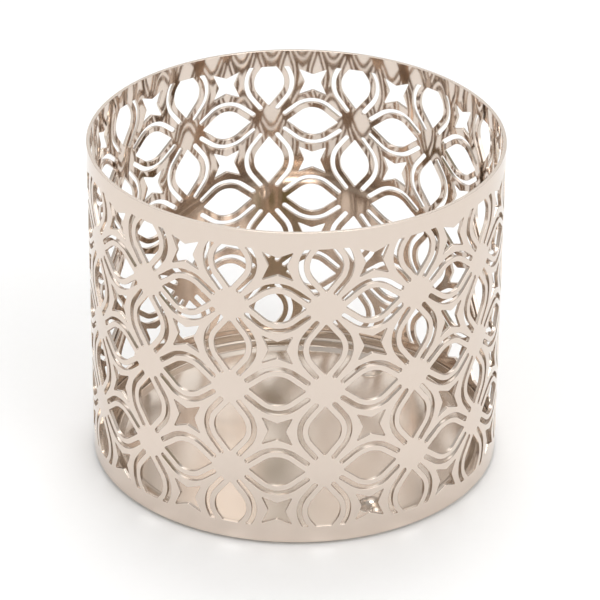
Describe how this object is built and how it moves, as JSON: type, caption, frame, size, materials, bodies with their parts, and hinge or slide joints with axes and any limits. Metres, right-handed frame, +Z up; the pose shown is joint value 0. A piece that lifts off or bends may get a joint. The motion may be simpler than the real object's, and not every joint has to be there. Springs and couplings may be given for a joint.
{
  "type": "three-wick candle holder",
  "caption": "Round pierced-metal sleeve on a pressed base pan with three raised bumps, holding a three-wick candle jar upright with its sides showing through a petal and star lattice.",
  "frame": {"origin": "middle of the underside, on the surface the holder stands on", "axes": "+Z up along the sleeve's axis; -Y towards the side the picture was taken from, +X to its right"},
  "size_m": [0.11, 0.11, 0.0916],
  "materials": {
    "polished_champagne_nickel": "polished champagne-toned nickel plate on steel sheet",
    "satin_champagne_nickel": "satin champagne-toned nickel plate on pressed steel"
  },
  "bodies": {
    "root": {"pierced_sleeve": "polished_champagne_nickel", "base_pan": "satin_champagne_nickel"}
  },
  "joints": []
}
